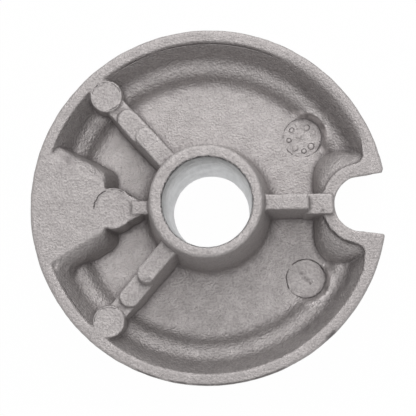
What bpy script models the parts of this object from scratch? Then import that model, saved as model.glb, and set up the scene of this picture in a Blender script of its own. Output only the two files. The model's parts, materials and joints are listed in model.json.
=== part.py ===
# Burner crown of a gas hob: one die-cast aluminium piece, lying on its crown face.
# The underside, with the venturi hub, the webs and the hollow rim, looks up (+Z).
# Metres. The Z axis is the axis of the gas throat, and the electrode notch is at +X.
import math

import bmesh
import bpy
from mathutils import Matrix, Vector

# Ring: the rim face that sits on the burner cup, and the flame port ring under it
RIM_RADIUS = 0.0450
RIM_WIDTH = 0.0031
RIM_EDGE_ROUND = 0.0007
RIM_INNER_ROUND = 0.0005
RING_HEIGHT = 0.0200
SKIRT_HEIGHT = 0.0036
SKIRT_SLOPE_DROP = 0.0009
SKIRT_EDGE_ROUND = 0.0005
SKIRT_OVERHANG = 0.0024
PORT_RING_LEAN = 0.0010
PORT_RING_FILLET = 0.0009
PORT_RING_EDGE_ROUND = 0.0004

# Hollow underside: a flat floor, a soft riser, a narrow leaning ledge and a drafted wall
FLOOR_DEPTH = 0.0100
LEDGE_DEPTH = 0.0071
LEDGE_RISE = 0.0010
WALL_RUN = 0.0030
LEDGE_WIDTH = 0.0044
RISER_RUN = 0.0022
RISER_FOOT_FILLET = 0.0039
RISER_TOP_ROUND = 0.0042
WALL_FOOT_FILLET = 0.0054
SHELL_THICKNESS = 0.0025

# Hub with the venturi throat
HUB_RISE = 0.0144
HUB_END_RADIUS = 0.0140
HUB_END_ROUND = 0.0005
HUB_ROOT_RADIUS = 0.0160
HUB_ROOT_FILLET = 0.0026
BORE_INLET_RADIUS = 0.0112
BORE_INLET_ROUND = 0.0003
THROAT_RADIUS = 0.0097
THROAT_ROUND = 0.0012
MOUTH_HEIGHT = 0.0010
MOUTH_FLARE = 0.0008
LIP_RECESS = 0.0020
LIP_WIDTH = 0.0014
LIP_ROUND = 0.0004
LIP_CONE_RUN = 0.0030
LIP_CONE_FILLET = 0.0015

# Gas chamber on the crown side, its gutter and the seat for the cap
RISER_WALL = 0.0020
RING_WALL = 0.0012
GUTTER_ROUND = 0.0006
CHAMBER_WALL_LEAN = 0.0005
CAP_SEAT_WIDTH = 0.0010
CAP_SEAT_DEPTH = 0.0010

# Electrode notch and the wall around it
NOTCH_RADIUS = 0.0070
NOTCH_DEPTH = 0.0132
NOTCH_FLARE = math.radians(7)
NOTCH_DRAFT = math.radians(5.8)
NOTCH_WALL = 0.0034
NOTCH_FOOT_RUN = 0.0020
NOTCH_FOOT_HALF_WIDTH = 0.0147
NOTCH_FOOT_CORNER = 0.0070
NOTCH_SHOULDER_DROP = 0.0020
NOTCH_SHOULDER_INSET = 0.0023
NOTCH_CHAMBER_WALL = 0.0026

# Webs between the hub and the ring, in steps, with the ejector pads at their ends
CAST_DRAFT = math.radians(2)
WEB_RISE = 0.0084
OUTER_WEB_ANGLE = math.radians(131.7)
OUTER_PAD_INSET = 0.0007
OUTER_PAD_RADIUS = 0.0040
HIGH_STEP_REACH = 0.0229
HIGH_STEP_HALF_WIDTH = 0.0023
MIDDLE_STEP_REACH = 0.0300
MIDDLE_STEP_HALF_WIDTH = 0.0025
MIDDLE_STEP_RISE = 0.0009
LOW_STEP_HALF_WIDTH = 0.0024
LOW_STEP_DROP = 0.0007
NOTCH_WEB_HALF_WIDTH = 0.0019
NOTCH_BLOCK_LENGTH = 0.0066
NOTCH_BLOCK_GAP = 0.0005
NOTCH_BLOCK_HALF_WIDTH = 0.0024
NOTCH_BLOCK_RISE = 0.0020
NOTCH_BLOCK_CORNER = 0.0004
REAR_WEB_HALF_WIDTH = 0.0017
REAR_WEB_RISE = 0.0005

# Solid land opposite the notch, level with the rim, and its ejector pad
LAND_END_DISTANCE = 0.0261
LAND_END_HALF_WIDTH = 0.0096
LAND_SIDE_ANGLE = math.radians(30.5)
LAND_CORNER = 0.0020
LAND_DRAFT = math.radians(15)
LAND_SHOULDER_DEPTH = 0.0022
LAND_SHOULDER_WIDTH = 0.0025
REAR_PAD_OFFSET = 0.0021
REAR_PAD_RADIUS = 0.0052

# Marks left by ejector pins and by the round inserts of the mould
PIN_MARK_DEPTH = 0.00015
PIN_MARK_MARGIN = 0.0004
INSERT_RADIUS = 0.0050
INSERT_DRAFT = math.radians(30)
INSERT_INSET = 0.0022
INSERT_ANGLES = (math.radians(37.2), math.radians(-36.5))

# Flame ports through the port ring
PORT_COUNT = 50
PORT_WIDTH = 0.0020
PORT_DEPTH = 0.0042
SIMMER_PORT_WIDTH = 0.0010
SIMMER_PORT_DEPTH = 0.0016
IGNITION_PORT_WIDTH = 0.0016
IGNITION_PORT_DEPTH = 0.0026

# Facets, and the overrun by which a cutter passes the face that it cuts
TURN_STEPS = 80
BOSS_STEPS = 28
NOTCH_STEPS = 48
CORNER_STEPS = 8
FACET_LENGTH = 0.0009
OVERRUN = 0.0020
WELD_DISTANCE = 0.00001

# Levels, measured up from the crown face on which the casting lies
RIM_LEVEL = RING_HEIGHT
FLOOR_LEVEL = RIM_LEVEL - FLOOR_DEPTH
LEDGE_LEVEL = RIM_LEVEL - LEDGE_DEPTH
WALL_FOOT_LEVEL = LEDGE_LEVEL + LEDGE_RISE
HUB_LEVEL = RIM_LEVEL + HUB_RISE
CHAMBER_LEVEL = FLOOR_LEVEL - SHELL_THICKNESS
GUTTER_LEVEL = LEDGE_LEVEL - SHELL_THICKNESS
LIP_LEVEL = LIP_RECESS
THROAT_LEVEL = LIP_LEVEL + MOUTH_HEIGHT
WEB_ROOT_LEVEL = FLOOR_LEVEL - SHELL_THICKNESS / 2
PORT_RING_LEVEL = RIM_LEVEL - SKIRT_HEIGHT - SKIRT_SLOPE_DROP

# Radii, measured inwards from the rim
RIM_INNER_RADIUS = RIM_RADIUS - RIM_WIDTH
WALL_FOOT_RADIUS = RIM_INNER_RADIUS - WALL_RUN
RISER_TOP_RADIUS = WALL_FOOT_RADIUS - LEDGE_WIDTH
RISER_FOOT_RADIUS = RISER_TOP_RADIUS - RISER_RUN
PORT_RING_ROOT_RADIUS = RIM_RADIUS - SKIRT_OVERHANG
PORT_RING_FACE_RADIUS = PORT_RING_ROOT_RADIUS - PORT_RING_LEAN
GUTTER_INNER_RADIUS = RISER_FOOT_RADIUS + RISER_WALL
GUTTER_OUTER_RADIUS = WALL_FOOT_RADIUS - RING_WALL
WEB_ROOT_RING_RADIUS = PORT_RING_FACE_RADIUS + PORT_RING_LEAN * WEB_ROOT_LEVEL / PORT_RING_LEVEL

# Places that follow the ring
NOTCH_CENTRE = RIM_RADIUS - NOTCH_DEPTH + NOTCH_RADIUS
NOTCH_CROWN_RADIUS = NOTCH_RADIUS + RING_HEIGHT * math.tan(NOTCH_DRAFT)
NOTCH_WEB_REACH = NOTCH_CENTRE - NOTCH_RADIUS - NOTCH_BLOCK_LENGTH
OUTER_PAD_DISTANCE = WALL_FOOT_RADIUS - OUTER_PAD_INSET
REAR_PAD_DISTANCE = LAND_END_DISTANCE - REAR_PAD_OFFSET
INSERT_DISTANCE = RISER_FOOT_RADIUS - INSERT_INSET


def clear_scene():
    for thing in list(bpy.data.objects):
        bpy.data.objects.remove(thing, do_unlink=True)


def new_collection(name):
    collection = bpy.data.collections.new(name)
    bpy.context.scene.collection.children.link(collection)
    return collection


def cast_aluminium():
    """Shot-blasted die-cast aluminium, warm light grey."""
    material = bpy.data.materials.new("cast_aluminium")
    material.use_nodes = True
    shader = material.node_tree.nodes["Principled BSDF"]
    shader.inputs["Base Color"].default_value = (0.45, 0.42, 0.41, 1.0)
    shader.inputs["Metallic"].default_value = 0.6
    shader.inputs["Roughness"].default_value = 0.62
    return material


def rounded_outline(corners, closed):
    """Turn (radius, level, rounding) corners into a polyline with an arc at each rounded corner."""
    points = []
    last = len(corners) - 1
    for index, (radius, level, rounding) in enumerate(corners):
        here = Vector((radius, level))
        at_end = not closed and index in (0, last)
        if at_end or rounding == 0:
            points.append(here)
            continue
        back = (Vector(corners[index - 1][:2]) - here).normalized()
        ahead = (Vector(corners[(index + 1) % len(corners)][:2]) - here).normalized()
        half_angle = back.angle(ahead) / 2
        reach = rounding / math.tan(half_angle)
        centre = here + (back + ahead).normalized() * rounding / math.sin(half_angle)
        start = here + back * reach - centre
        finish = here + ahead * reach - centre
        sweep = start.angle_signed(finish)
        count = max(1, round(rounding * abs(sweep) / FACET_LENGTH))
        for step in range(count + 1):
            turn = Matrix.Rotation(-sweep * step / count, 2)
            points.append(centre + turn @ start)
    return points


def turned(name, corners, collection, closed):
    """A profile at +X that a Screw modifier turns about the Z axis."""
    outline = rounded_outline(corners, closed)
    mesh = bpy.data.meshes.new(name)
    shape = bmesh.new()
    verts = [shape.verts.new((point.x, 0, point.y)) for point in outline]
    for first, second in zip(verts, verts[1:]):
        shape.edges.new((first, second))
    if closed:
        shape.edges.new((verts[-1], verts[0]))
    shape.to_mesh(mesh)
    shape.free()
    piece = bpy.data.objects.new(name, mesh)
    collection.objects.link(piece)
    screw = piece.modifiers.new("turn", "SCREW")
    screw.axis = "Z"
    screw.steps = TURN_STEPS
    screw.render_steps = TURN_STEPS
    screw.use_merge_vertices = True
    screw.merge_threshold = WELD_DISTANCE
    screw.use_smooth_shade = False
    return piece


def add_boss(shape, x, y, radius, top_level, root_level, draft=0, steps=BOSS_STEPS):
    """A round boss of this radius at its top, which grows wider towards its root."""
    height = top_level - root_level
    bmesh.ops.create_cone(
        shape, cap_ends=True, segments=steps, depth=height,
        radius1=radius + height * math.tan(draft), radius2=radius,
        matrix=Matrix.Translation((x, y, root_level + height / 2)))


def wrapped(name, shape, collection):
    """The convex hull of the bosses in this bmesh, as an object."""
    hull = bmesh.ops.convex_hull(shape, input=shape.verts)
    inside = {item for item in hull["geom_interior"] + hull["geom_unused"]}
    spare = [item for item in inside if isinstance(item, bmesh.types.BMVert)]
    bmesh.ops.delete(shape, geom=spare, context="VERTS")
    kept = {item for item in hull["geom"] if isinstance(item, bmesh.types.BMFace)}
    bmesh.ops.delete(shape, geom=[face for face in shape.faces if face not in kept], context="FACES")
    bmesh.ops.dissolve_limit(
        shape, angle_limit=math.radians(0.5), verts=shape.verts, edges=shape.edges)
    bmesh.ops.recalc_face_normals(shape, faces=shape.faces)
    return object_from(name, shape, collection)


def object_from(name, shape, collection):
    mesh = bpy.data.meshes.new(name)
    shape.to_mesh(mesh)
    shape.free()
    piece = bpy.data.objects.new(name, mesh)
    collection.objects.link(piece)
    return piece


def drafted(name, feet, top_level, root_level, draft, collection, steps=BOSS_STEPS):
    """The hull of tapered bosses that stand at the feet, given as (x, y, radius at the top)."""
    shape = bmesh.new()
    for x, y, radius in feet:
        add_boss(shape, x, y, radius, top_level, root_level, draft, steps)
    return wrapped(name, shape, collection)


def polar(distance, angle):
    return distance * math.cos(angle), distance * math.sin(angle)


def add_slab(shape, angle, inner, outer, width, bottom, top):
    """A box along the ray at this angle, from the inner to the outer radius."""
    x, y = polar((inner + outer) / 2, angle)
    size = Matrix.Diagonal((outer - inner, width, top - bottom, 1))
    place = Matrix.Translation((x, y, (bottom + top) / 2)) @ Matrix.Rotation(angle, 4, "Z")
    bmesh.ops.create_cube(shape, size=1, matrix=place @ size)


def hide_tool(piece):
    piece.hide_render = True
    piece.display_type = "WIRE"


def combine(piece, other, operation):
    """A Boolean with another object, or with all the objects of a collection at once."""
    change = piece.modifiers.new(other.name, "BOOLEAN")
    change.operation = operation
    change.solver = "EXACT"
    if isinstance(other, bpy.types.Collection):
        change.operand_type = "COLLECTION"
        change.collection = other
    else:
        change.object = other


def casting_blank(parts):
    """Rim, hollow underside and hub in one turned section, still solid under the floor."""
    mouth_radius = THROAT_RADIUS + MOUTH_FLARE * THROAT_LEVEL / MOUTH_HEIGHT
    section = [
        (BORE_INLET_RADIUS, HUB_LEVEL, BORE_INLET_ROUND),
        (HUB_END_RADIUS, HUB_LEVEL, HUB_END_ROUND),
        (HUB_ROOT_RADIUS, FLOOR_LEVEL, HUB_ROOT_FILLET),
        (RISER_FOOT_RADIUS, FLOOR_LEVEL, RISER_FOOT_FILLET),
        (RISER_TOP_RADIUS, LEDGE_LEVEL, RISER_TOP_ROUND),
        (WALL_FOOT_RADIUS, WALL_FOOT_LEVEL, WALL_FOOT_FILLET),
        (RIM_INNER_RADIUS, RIM_LEVEL, RIM_INNER_ROUND),
        (RIM_RADIUS, RIM_LEVEL, RIM_EDGE_ROUND),
        (RIM_RADIUS, RIM_LEVEL - SKIRT_HEIGHT, SKIRT_EDGE_ROUND),
        (PORT_RING_ROOT_RADIUS, PORT_RING_LEVEL, PORT_RING_FILLET),
        (PORT_RING_FACE_RADIUS, 0, PORT_RING_EDGE_ROUND),
        (mouth_radius, 0, 0),
        (THROAT_RADIUS, THROAT_LEVEL, THROAT_ROUND),
    ]
    return turned("burner_crown", section, parts, closed=True)


def chamber_tool(hollows, guides):
    """What is hollow on the crown side: the gas chamber, its gutter and the cap seat."""
    lip_radius = THROAT_RADIUS + MOUTH_FLARE + LIP_WIDTH
    wall_foot = GUTTER_OUTER_RADIUS + CHAMBER_WALL_LEAN
    seat_radius = wall_foot + CAP_SEAT_WIDTH
    section = [
        (0, LIP_LEVEL, 0),
        (lip_radius, LIP_LEVEL, LIP_ROUND),
        (lip_radius + LIP_CONE_RUN, CHAMBER_LEVEL, LIP_CONE_FILLET),
        (GUTTER_INNER_RADIUS, CHAMBER_LEVEL, GUTTER_ROUND),
        (GUTTER_INNER_RADIUS + RISER_RUN, GUTTER_LEVEL, GUTTER_ROUND),
        (GUTTER_OUTER_RADIUS, GUTTER_LEVEL, GUTTER_ROUND),
        (wall_foot, CAP_SEAT_DEPTH, 0),
        (seat_radius, CAP_SEAT_DEPTH, 0),
        (seat_radius, -OVERRUN, 0),
        (0, -OVERRUN, 0),
    ]
    chamber = turned("chamber", section, hollows, closed=False)
    chamber.rotation_euler.z = math.pi / TURN_STEPS
    top_level = GUTTER_LEVEL + OVERRUN
    top_radius = NOTCH_CROWN_RADIUS + NOTCH_CHAMBER_WALL - top_level * math.tan(NOTCH_DRAFT)
    around_notch = drafted(
        "chamber_limit", [(NOTCH_CENTRE, 0, top_radius)],
        top_level, -OVERRUN - OVERRUN, NOTCH_DRAFT, guides)
    combine(chamber, around_notch, "DIFFERENCE")


def outer_web(name, side, work):
    """One stepped web at an ejector pad, on the side given as 1 or -1."""
    angle = side * OUTER_WEB_ANGLE
    start = polar(BORE_INLET_RADIUS + HIGH_STEP_HALF_WIDTH, angle)
    steps = [
        ("high", HIGH_STEP_REACH, HIGH_STEP_HALF_WIDTH, WEB_RISE),
        ("middle", MIDDLE_STEP_REACH, MIDDLE_STEP_HALF_WIDTH, MIDDLE_STEP_RISE),
        ("low", OUTER_PAD_DISTANCE, LOW_STEP_HALF_WIDTH, -LOW_STEP_DROP),
    ]
    for step, reach, half_width, rise in steps:
        feet = [(*start, half_width), (*polar(reach, angle), half_width)]
        drafted(f"{name}_{step}", feet, RIM_LEVEL + rise, WEB_ROOT_LEVEL, CAST_DRAFT, work)
    pad = [(*polar(OUTER_PAD_DISTANCE, angle), OUTER_PAD_RADIUS)]
    drafted(f"{name}_pad", pad, RIM_LEVEL, WEB_ROOT_LEVEL, CAST_DRAFT, work)


def bar_feet(start, end, half_width):
    """Small round feet at the four corners of a bar that lies along the notch's axis."""
    offset = half_width - NOTCH_BLOCK_CORNER
    return [(x, y, NOTCH_BLOCK_CORNER)
            for x in (start, end - NOTCH_BLOCK_CORNER) for y in (offset, -offset)]


def notch_web(work):
    """The web from the hub to the notch wall, with a lower block at its end."""
    web_feet = bar_feet(BORE_INLET_RADIUS + NOTCH_WEB_HALF_WIDTH, NOTCH_WEB_REACH, NOTCH_WEB_HALF_WIDTH)
    drafted(
        "notch_web", web_feet, RIM_LEVEL + WEB_RISE, WEB_ROOT_LEVEL, CAST_DRAFT, work,
        steps=CORNER_STEPS)
    block_start = NOTCH_WEB_REACH - NOTCH_BLOCK_HALF_WIDTH
    block_end = NOTCH_CENTRE - NOTCH_RADIUS - NOTCH_BLOCK_GAP
    drafted(
        "notch_block", bar_feet(block_start, block_end, NOTCH_BLOCK_HALF_WIDTH),
        RIM_LEVEL + NOTCH_BLOCK_RISE, WEB_ROOT_LEVEL, CAST_DRAFT, work, steps=CORNER_STEPS)


def rear_land(work, inside_of_ring):
    """The solid land opposite the notch, its ejector pad and the short web to the hub."""
    corner_x = -LAND_END_DISTANCE - LAND_CORNER
    corner_y = LAND_END_HALF_WIDTH - LAND_CORNER
    reach = RIM_INNER_RADIUS * math.cos(LAND_SIDE_ANGLE) - LAND_END_DISTANCE
    far_y = corner_y + reach * math.tan(LAND_SIDE_ANGLE)
    shoulder_level = RIM_LEVEL - LAND_SHOULDER_DEPTH
    shoulder_corner = LAND_CORNER + LAND_SHOULDER_DEPTH * math.tan(LAND_DRAFT)
    shape = bmesh.new()
    add_boss(shape, -RIM_INNER_RADIUS, 0, LAND_CORNER, RIM_LEVEL, WEB_ROOT_LEVEL)
    for x, y in ((corner_x, corner_y), (corner_x - reach, far_y)):
        for side in (1, -1):
            top_y = side * (y - LAND_SHOULDER_WIDTH)
            add_boss(shape, x, top_y, LAND_CORNER, RIM_LEVEL, shoulder_level, LAND_DRAFT)
            add_boss(shape, x, side * y, shoulder_corner, shoulder_level, WEB_ROOT_LEVEL, LAND_DRAFT)
    land = wrapped("rear_land", shape, work)
    combine(land, inside_of_ring, "INTERSECT")
    drafted(
        "rear_pad", [(-REAR_PAD_DISTANCE, 0, REAR_PAD_RADIUS)],
        RIM_LEVEL, WEB_ROOT_LEVEL, CAST_DRAFT, work)
    hub_end = BORE_INLET_RADIUS + REAR_WEB_HALF_WIDTH
    drafted(
        "rear_web", [(-hub_end, 0, REAR_WEB_HALF_WIDTH), (-REAR_PAD_DISTANCE, 0, REAR_WEB_HALF_WIDTH)],
        RIM_LEVEL + REAR_WEB_RISE, WEB_ROOT_LEVEL, CAST_DRAFT, work)


def notch_wall(work, inside_of_ring):
    """The wall around the notch: round at the rim, sloping out to a wide square foot under the floor."""
    foot_level = (WEB_ROOT_LEVEL + CHAMBER_LEVEL) / 2
    wall_radius = NOTCH_RADIUS + NOTCH_WALL
    foot_x = NOTCH_CENTRE - wall_radius - NOTCH_FOOT_RUN + NOTCH_FOOT_CORNER
    foot_y = NOTCH_FOOT_HALF_WIDTH - NOTCH_FOOT_CORNER
    shape = bmesh.new()
    add_boss(shape, NOTCH_CENTRE, 0, wall_radius, RIM_LEVEL, WEB_ROOT_LEVEL)
    for x in (foot_x, NOTCH_CENTRE):
        for y in (foot_y, -foot_y):
            add_boss(shape, x, y, NOTCH_FOOT_CORNER, WEB_ROOT_LEVEL, foot_level)
            add_boss(
                shape, x, y, NOTCH_FOOT_CORNER - NOTCH_SHOULDER_INSET,
                RIM_LEVEL - NOTCH_SHOULDER_DROP, WEB_ROOT_LEVEL)
    wall = wrapped("notch_wall", shape, work)
    combine(wall, inside_of_ring, "INTERSECT")


def inner_work(work, guides):
    """Webs, pads, land and notch wall, of which the last two are kept inside the ring."""
    trim_radius = (RIM_INNER_RADIUS + WEB_ROOT_RING_RADIUS) / 2
    inside_of_ring = drafted(
        "inside_of_ring", [(0, 0, trim_radius)],
        HUB_LEVEL, CHAMBER_LEVEL - OVERRUN, 0, guides, steps=TURN_STEPS)
    notch_wall(work, inside_of_ring)
    rear_land(work, inside_of_ring)
    notch_web(work)
    outer_web("upper_web", 1, work)
    outer_web("lower_web", -1, work)


def notch_tool(hollows):
    """The open notch: a round end, with sides that flare outwards and open towards the crown."""
    above_rim = NOTCH_BLOCK_RISE + OVERRUN
    radius = NOTCH_RADIUS - above_rim * math.tan(NOTCH_DRAFT)
    feet = [
        (NOTCH_CENTRE, 0, radius),
        (NOTCH_CENTRE + NOTCH_DEPTH, 0, radius + NOTCH_DEPTH * math.sin(NOTCH_FLARE))]
    drafted(
        "notch", feet, RIM_LEVEL + above_rim, -OVERRUN, NOTCH_DRAFT, hollows, steps=NOTCH_STEPS)


def mark_tool(hollows):
    """Shallow round marks: three ejector pins and two mould inserts."""
    pins = [(*polar(OUTER_PAD_DISTANCE, side * OUTER_WEB_ANGLE), OUTER_PAD_RADIUS) for side in (1, -1)]
    pins.append((-REAR_PAD_DISTANCE, 0, REAR_PAD_RADIUS))
    shape = bmesh.new()
    for x, y, radius in pins:
        add_boss(shape, x, y, radius - PIN_MARK_MARGIN, RIM_LEVEL + OVERRUN, RIM_LEVEL - PIN_MARK_DEPTH)
    insert_top = LEDGE_LEVEL + OVERRUN
    insert_foot = FLOOR_LEVEL - PIN_MARK_DEPTH
    top_radius = INSERT_RADIUS + (insert_top - insert_foot) * math.tan(INSERT_DRAFT)
    for angle in INSERT_ANGLES:
        add_boss(
            shape, *polar(INSERT_DISTANCE, angle), top_radius, insert_top, insert_foot, -INSERT_DRAFT)
    object_from("round_marks", shape, hollows)


def port_tool(hollows):
    """Deep flame ports with shallow simmer ports between them, none at the notch."""
    shape = bmesh.new()
    inner = GUTTER_OUTER_RADIUS - OVERRUN
    outer = RIM_RADIUS + OVERRUN
    clear_angle = math.asin((NOTCH_RADIUS + NOTCH_WALL + PORT_WIDTH) / NOTCH_CENTRE)
    span = 2 * (math.pi - clear_angle)
    for index in range(PORT_COUNT):
        angle = clear_angle + span * index / (PORT_COUNT - 1)
        add_slab(shape, angle, inner, outer, PORT_WIDTH, -OVERRUN, PORT_DEPTH)
    for index in range(PORT_COUNT - 1):
        angle = clear_angle + span * (index + 1 / 2) / (PORT_COUNT - 1)
        add_slab(shape, angle, inner, outer, SIMMER_PORT_WIDTH, -OVERRUN, SIMMER_PORT_DEPTH)
    notch_end = NOTCH_CENTRE - NOTCH_CROWN_RADIUS
    add_slab(
        shape, 0, notch_end - NOTCH_CHAMBER_WALL - OVERRUN, notch_end + OVERRUN,
        IGNITION_PORT_WIDTH, -OVERRUN, IGNITION_PORT_DEPTH)
    object_from("flame_ports", shape, hollows)


def build():
    clear_scene()
    parts = new_collection("gas_hob_burner")
    work = new_collection("inner_work")
    hollows = new_collection("hollows")
    guides = new_collection("guides")
    crown = casting_blank(parts)
    inner_work(work, guides)
    chamber_tool(hollows, guides)
    notch_tool(hollows)
    mark_tool(hollows)
    port_tool(hollows)
    combine(crown, work, "UNION")
    combine(crown, hollows, "DIFFERENCE")
    crown.data.materials.append(cast_aluminium())
    for tools in (work, hollows, guides):
        for tool in tools.objects:
            hide_tool(tool)


build()
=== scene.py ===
import json
import math

import bmesh
import bpy
import numpy as np
from mathutils import Matrix, Vector, noise

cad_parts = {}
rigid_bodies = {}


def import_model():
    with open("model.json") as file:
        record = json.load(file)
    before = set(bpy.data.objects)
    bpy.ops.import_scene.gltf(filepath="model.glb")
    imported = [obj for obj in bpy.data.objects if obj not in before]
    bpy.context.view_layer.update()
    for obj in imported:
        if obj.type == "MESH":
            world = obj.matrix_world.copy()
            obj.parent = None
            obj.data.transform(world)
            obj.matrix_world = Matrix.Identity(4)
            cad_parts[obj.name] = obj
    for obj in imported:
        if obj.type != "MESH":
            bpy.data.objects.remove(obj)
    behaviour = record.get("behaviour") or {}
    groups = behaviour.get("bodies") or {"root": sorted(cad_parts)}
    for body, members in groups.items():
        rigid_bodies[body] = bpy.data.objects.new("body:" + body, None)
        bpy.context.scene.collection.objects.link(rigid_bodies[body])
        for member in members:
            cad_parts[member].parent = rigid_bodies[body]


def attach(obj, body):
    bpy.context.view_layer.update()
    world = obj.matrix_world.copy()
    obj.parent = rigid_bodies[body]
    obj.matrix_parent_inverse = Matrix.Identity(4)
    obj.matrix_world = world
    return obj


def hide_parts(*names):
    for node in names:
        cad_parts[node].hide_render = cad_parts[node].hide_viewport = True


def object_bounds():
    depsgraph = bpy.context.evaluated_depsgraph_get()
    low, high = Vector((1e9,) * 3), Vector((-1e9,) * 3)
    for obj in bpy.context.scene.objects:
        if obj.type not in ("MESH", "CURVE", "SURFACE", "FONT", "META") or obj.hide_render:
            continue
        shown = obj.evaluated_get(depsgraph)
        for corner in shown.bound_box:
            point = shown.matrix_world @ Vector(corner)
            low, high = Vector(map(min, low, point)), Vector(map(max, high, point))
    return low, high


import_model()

cad_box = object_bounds()

# Turned body: the rim that sits on the burner cup, the hollow underside and the hub.
# Die-cast aluminium. Everything that is round about the gas throat is one section,
# and each edge is soft, because the metal was poured into a worn steel mould.
RIM_RADIUS = 0.0450
RIM_INNER_RADIUS = 0.0422
RIM_EDGE_ROUND = 0.0008
RIM_INNER_ROUND = 0.0004
RIM_LEVEL = 0.0200
SKIRT_LEVEL = 0.0164
SKIRT_EDGE_ROUND = 0.0005
PORT_RING_LEVEL = 0.0155
PORT_RING_ROOT_RADIUS = 0.0426
PORT_RING_FACE_RADIUS = 0.0416
PORT_RING_FILLET = 0.0009
PORT_RING_EDGE_ROUND = 0.0004
WALL_FOOT_RADIUS = 0.0383
WALL_FOOT_LEVEL = 0.0137
WALL_FOOT_FILLET = 0.0034
LEDGE_LEVEL = 0.0129
RISER_TOP_RADIUS = 0.0348
RISER_TOP_ROUND = 0.0042
RISER_FOOT_RADIUS = 0.0326
RISER_FOOT_FILLET = 0.0030
FLOOR_LEVEL = 0.0100
HUB_LEVEL = 0.0344
HUB_END_RADIUS = 0.0140
HUB_END_ROUND = 0.0009
HUB_ROOT_RADIUS = 0.0160
HUB_ROOT_FILLET = 0.0026
ARC_FACET = 0.0003
TURN_STEPS = 216
WELD_DISTANCE = 0.00001
OVERRUN = 0.0020

tools = bpy.data.collections.new("casting_work")
added_metal = bpy.data.collections.new("added_metal")
hollows = bpy.data.collections.new("hollows")
late_metal = bpy.data.collections.new("late_metal")
for group in (tools, added_metal, hollows, late_metal):
    bpy.context.scene.collection.children.link(group)


def rounded_outline(corners):
    """Turn (radius, level, rounding) corners into points, with an arc at each rounded corner."""
    points = []
    for index, (radius, level, rounding) in enumerate(corners):
        here = Vector((radius, level))
        if rounding == 0 or index in (0, len(corners) - 1):
            points.append(here)
            continue
        back = (Vector(corners[index - 1][:2]) - here).normalized()
        ahead = (Vector(corners[index + 1][:2]) - here).normalized()
        half_angle = back.angle(ahead) / 2
        centre = here + (back + ahead).normalized() * rounding / math.sin(half_angle)
        start = here + back * rounding / math.tan(half_angle) - centre
        finish = here + ahead * rounding / math.tan(half_angle) - centre
        sweep = start.angle_signed(finish)
        count = max(2, round(rounding * abs(sweep) / ARC_FACET))
        for step in range(count + 1):
            points.append(centre + Matrix.Rotation(-sweep * step / count, 2) @ start)
    return points


def turned(name, corners, collection):
    """A closed body that a Screw modifier turns from a section whose two ends lie on the axis."""
    mesh = bpy.data.meshes.new(name)
    shape = bmesh.new()
    verts = [shape.verts.new((point.x, 0, point.y)) for point in rounded_outline(corners)]
    for first, second in zip(verts, verts[1:]):
        shape.edges.new((first, second))
    shape.to_mesh(mesh)
    shape.free()
    piece = bpy.data.objects.new(name, mesh)
    collection.objects.link(piece)
    screw = piece.modifiers.new("turn", "SCREW")
    screw.axis = "Z"
    screw.steps = screw.render_steps = TURN_STEPS
    screw.use_merge_vertices = True
    screw.merge_threshold = WELD_DISTANCE
    screw.use_normal_flip = False
    return piece


casting = turned("casting_blank", [
    (0, HUB_LEVEL, 0),
    (HUB_END_RADIUS, HUB_LEVEL, HUB_END_ROUND),
    (HUB_ROOT_RADIUS, FLOOR_LEVEL, HUB_ROOT_FILLET),
    (RISER_FOOT_RADIUS, FLOOR_LEVEL, RISER_FOOT_FILLET),
    (RISER_TOP_RADIUS, LEDGE_LEVEL, RISER_TOP_ROUND),
    (WALL_FOOT_RADIUS, WALL_FOOT_LEVEL, WALL_FOOT_FILLET),
    (RIM_INNER_RADIUS, RIM_LEVEL, RIM_INNER_ROUND),
    (RIM_RADIUS, RIM_LEVEL, RIM_EDGE_ROUND),
    (RIM_RADIUS, SKIRT_LEVEL, SKIRT_EDGE_ROUND),
    (PORT_RING_ROOT_RADIUS, PORT_RING_LEVEL, PORT_RING_FILLET),
    (PORT_RING_FACE_RADIUS, 0, PORT_RING_EDGE_ROUND),
    (0, 0, 0),
], tools)

# Webs and ejector pads: three stiffening webs run from the hub, two of them in steps to a
# round pad at the ring, the third to a low block at the notch. Cast with the body. Each
# wall leans by the draft of the mould, and has a fillet on the floor and a soft top edge.
CAST_DRAFT = math.radians(2)
WEB_START = 0.0131
WEB_HALF_WIDTH = 0.0023
WEB_TOP_LEVEL = 0.0284
WEB_ROOT_LEVEL = 0.0088
WEB_FOOT_FILLET = 0.0008
WEB_EDGE_ROUND = 0.0003
OUTER_WEB_ANGLE = math.radians(131.7)
OUTER_PAD_DISTANCE = 0.0382
OUTER_PAD_RADIUS = 0.0040
HIGH_STEP_REACH = 0.0229
MIDDLE_STEP_REACH = 0.0300
MIDDLE_STEP_HALF_WIDTH = 0.0026
MIDDLE_STEP_LEVEL = 0.0209
LOW_STEP_HALF_WIDTH = 0.0025
LOW_STEP_LEVEL = 0.0193
NOTCH_WEB_HALF_WIDTH = 0.0019
NOTCH_WEB_END = 0.0252
NOTCH_WEB_CORNER = 0.0005
NOTCH_BLOCK_START = 0.0240
NOTCH_BLOCK_END = 0.0313
NOTCH_BLOCK_HALF_WIDTH = 0.0025
NOTCH_BLOCK_CORNER = 0.0004
NOTCH_BLOCK_LEVEL = 0.0220
ARC_STEPS = 5
OUTLINE_STEPS = 72


def outline(feet, grow):
    """Points around the feet, each (x, y, radius) and widened by grow: one point per direction."""
    points = []
    for step in range(OUTLINE_STEPS):
        angle = math.tau * (step + 1 / 2) / OUTLINE_STEPS
        side = Vector((math.cos(angle), math.sin(angle)))
        x, y, radius = max(feet, key=lambda foot: side.dot(Vector(foot[:2])) + foot[2])
        points.append((x + (radius + grow) * side.x, y + (radius + grow) * side.y))
    return points


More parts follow.
